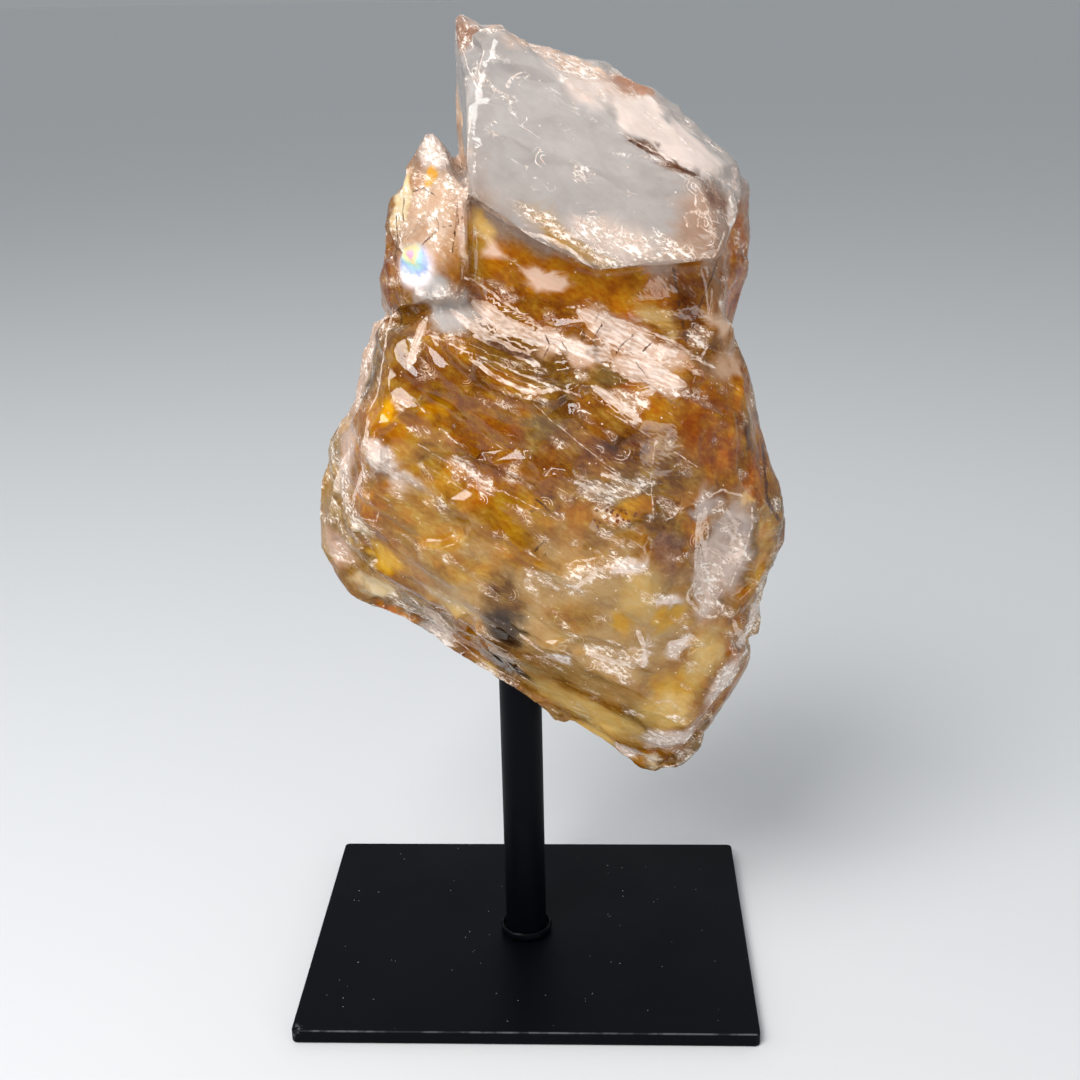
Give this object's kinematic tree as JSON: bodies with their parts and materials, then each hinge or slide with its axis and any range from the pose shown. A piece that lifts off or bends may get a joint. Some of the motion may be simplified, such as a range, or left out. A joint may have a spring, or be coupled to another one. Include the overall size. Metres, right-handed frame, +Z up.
{
  "type": "quartz crystal display piece",
  "caption": "Rough broken lump of golden healer quartz, drilled from below and set on a round post welded to a flat rectangular plate.",
  "frame": {"origin": "centre of the base plate's underside", "axes": "+Z up along the post, +X to the right along the plate's long side seen from the front, +Y to the back"},
  "size_m": [0.1069, 0.0762, 0.21],
  "materials": {
    "black_powder_coat": "satin black powder coat",
    "golden_quartz": "broken, unpolished quartz, clear to golden with iron-stained veils"
  },
  "bodies": {
    "root": {"base_plate": "black_powder_coat", "post": "black_powder_coat", "weld_bead": "black_powder_coat", "quartz": "golden_quartz"}
  },
  "joints": []
}
